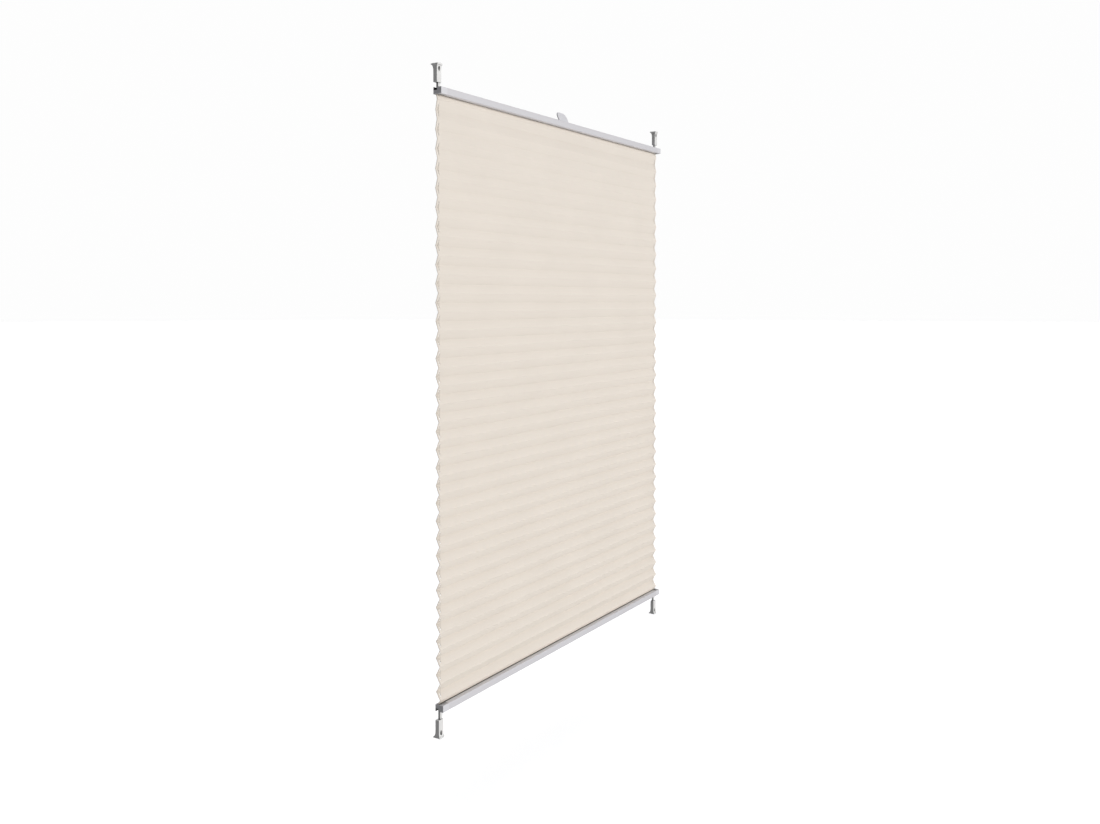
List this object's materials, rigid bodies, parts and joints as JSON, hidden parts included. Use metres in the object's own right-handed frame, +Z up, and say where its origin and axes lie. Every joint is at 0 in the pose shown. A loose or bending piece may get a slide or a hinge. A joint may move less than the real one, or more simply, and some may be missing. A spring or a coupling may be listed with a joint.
{
  "type": "pleated blind",
  "caption": "Cord-tensioned pleated blind: cream pleated cloth between two slim rails that slide on tight cords held by spring-loaded tension shoes, with a small grip on the top rail.",
  "frame": {"origin": "half-way between the two rails at mid width, in the plane of the upright cords", "axes": "+Z up, +X to the right seen from the room, -Y towards the room and +Y towards the window"},
  "size_m": [1.001, 0.0272, 1.354],
  "materials": {
    "rail_coating": "light grey powder coat, satin",
    "end_plastic": "light grey moulded plastic",
    "shoe_plastic": "pale grey moulded plastic",
    "grip_plastic": "light grey moulded plastic",
    "stopper_plastic": "natural moulded plastic",
    "strip_plastic": "extruded clear-white plastic",
    "spring_steel": "drawn spring wire",
    "cloth": "cream pleated polyester",
    "cord": "braided polyester cord"
  },
  "bodies": {
    "fittings": {"top_left_shoe": "shoe_plastic", "top_left_spring": "spring_steel", "top_left_cord_stopper": "stopper_plastic", "top_right_shoe": "shoe_plastic", "top_right_spring": "spring_steel", "top_right_cord_stopper": "stopper_plastic", "bottom_left_shoe": "shoe_plastic", "bottom_left_spring": "spring_steel", "bottom_left_cord_stopper": "stopper_plastic", "bottom_right_shoe": "shoe_plastic", "bottom_right_spring": "spring_steel", "bottom_right_cord_stopper": "stopper_plastic", "pleated_cloth": "cloth", "left_cord": "cord", "right_cord": "cord"},
    "top_rail": {"top_rail": "rail_coating", "top_cloth_strip": "strip_plastic", "top_crossing_cords": "cord", "top_left_cap": "end_plastic", "top_right_cap": "end_plastic", "grip": "grip_plastic"},
    "bottom_rail": {"bottom_rail": "rail_coating", "bottom_cloth_strip": "strip_plastic", "bottom_crossing_cords": "cord", "bottom_left_cap": "end_plastic", "bottom_right_cap": "end_plastic"}
  },
  "joints": [
    {"name": "top_rail_slide", "type": "slide", "parent": "fittings", "child": "top_rail", "axis": [0, 0, -1], "range_m": [0, 0.586], "deforming": ["pleated_cloth"]},
    {"name": "bottom_rail_slide", "type": "slide", "parent": "fittings", "child": "bottom_rail", "axis": [0, 0, 1], "range_m": [0, 0.586], "deforming": ["pleated_cloth"]}
  ]
}
